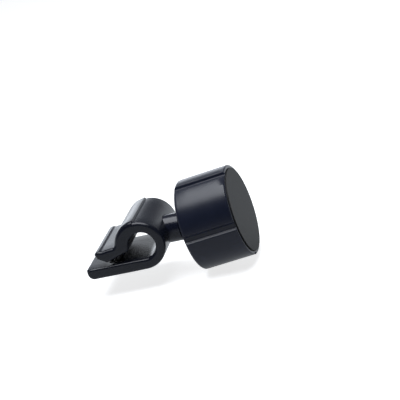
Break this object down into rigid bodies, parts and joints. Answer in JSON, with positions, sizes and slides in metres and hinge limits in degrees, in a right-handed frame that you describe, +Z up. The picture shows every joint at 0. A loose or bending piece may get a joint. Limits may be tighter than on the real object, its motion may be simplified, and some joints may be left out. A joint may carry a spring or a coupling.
{
  "type": "air vent phone holder",
  "caption": "Small magnetic phone holder: a spring clip for a vent vane, a ball stud on the clip's ring, and a grooved round magnetic head on the ball.",
  "frame": {"origin": "where a vent vane lies in the clip's mouth, on the ribs of the base plate's grip strip, at the middle of the clip's width", "axes": "+X along the stem from the mouth to the head, +Y along the vane, +Z up from the base plate to the jaw"},
  "size_m": [0.0501, 0.0276, 0.029],
  "materials": {
    "clip_plastic": "satin moulded",
    "stud_plastic": "smooth moulded",
    "shell_plastic": "satin moulded",
    "grip_rubber": "ribbed",
    "face_rubber": "matt",
    "friction_rubber": "matt",
    "liner_plastic": "natural acetal",
    "inner_plastic": "moulded",
    "spring_steel": "rolled",
    "screw_steel": "zinc plated",
    "yoke_steel": "zinc plated",
    "magnet_plating": "nickel plated"
  },
  "bodies": {
    "clip": {"clip_body": "clip_plastic", "jaw_pad": "grip_rubber", "base_pad": "grip_rubber"},
    "stud": {"ball_stud": "stud_plastic"},
    "socket": {"socket_liner": "liner_plastic"},
    "head": {"head_shell": "shell_plastic", "friction_pad": "friction_rubber", "spring_washer": "spring_steel", "retaining_plate": "inner_plastic", "retaining_screw_1": "screw_steel", "retaining_screw_2": "screw_steel", "retaining_screw_3": "screw_steel", "yoke_plate": "yoke_steel", "magnet_carrier": "inner_plastic", "magnet_1": "magnet_plating", "magnet_2": "magnet_plating", "magnet_3": "magnet_plating", "magnet_4": "magnet_plating", "magnet_5": "magnet_plating", "magnet_6": "magnet_plating", "face_pad": "face_rubber"}
  },
  "joints": [
    {"name": "ball_swing", "type": "hinge", "parent": "clip", "child": "stud", "pos_m": [0.0283, 0, 0.0044], "axis": [1, 0, 0], "continuous": true},
    {"name": "head_tilt", "type": "hinge", "parent": "stud", "child": "socket", "pos_m": [0.0283, 0, 0.0044], "axis": [0, 1, 0], "range_deg": [-18, 31]},
    {"name": "head_spin", "type": "hinge", "parent": "socket", "child": "head", "pos_m": [0.0283, 0, 0.0044], "axis": [0.9945, 0, 0.1045], "continuous": true}
  ]
}
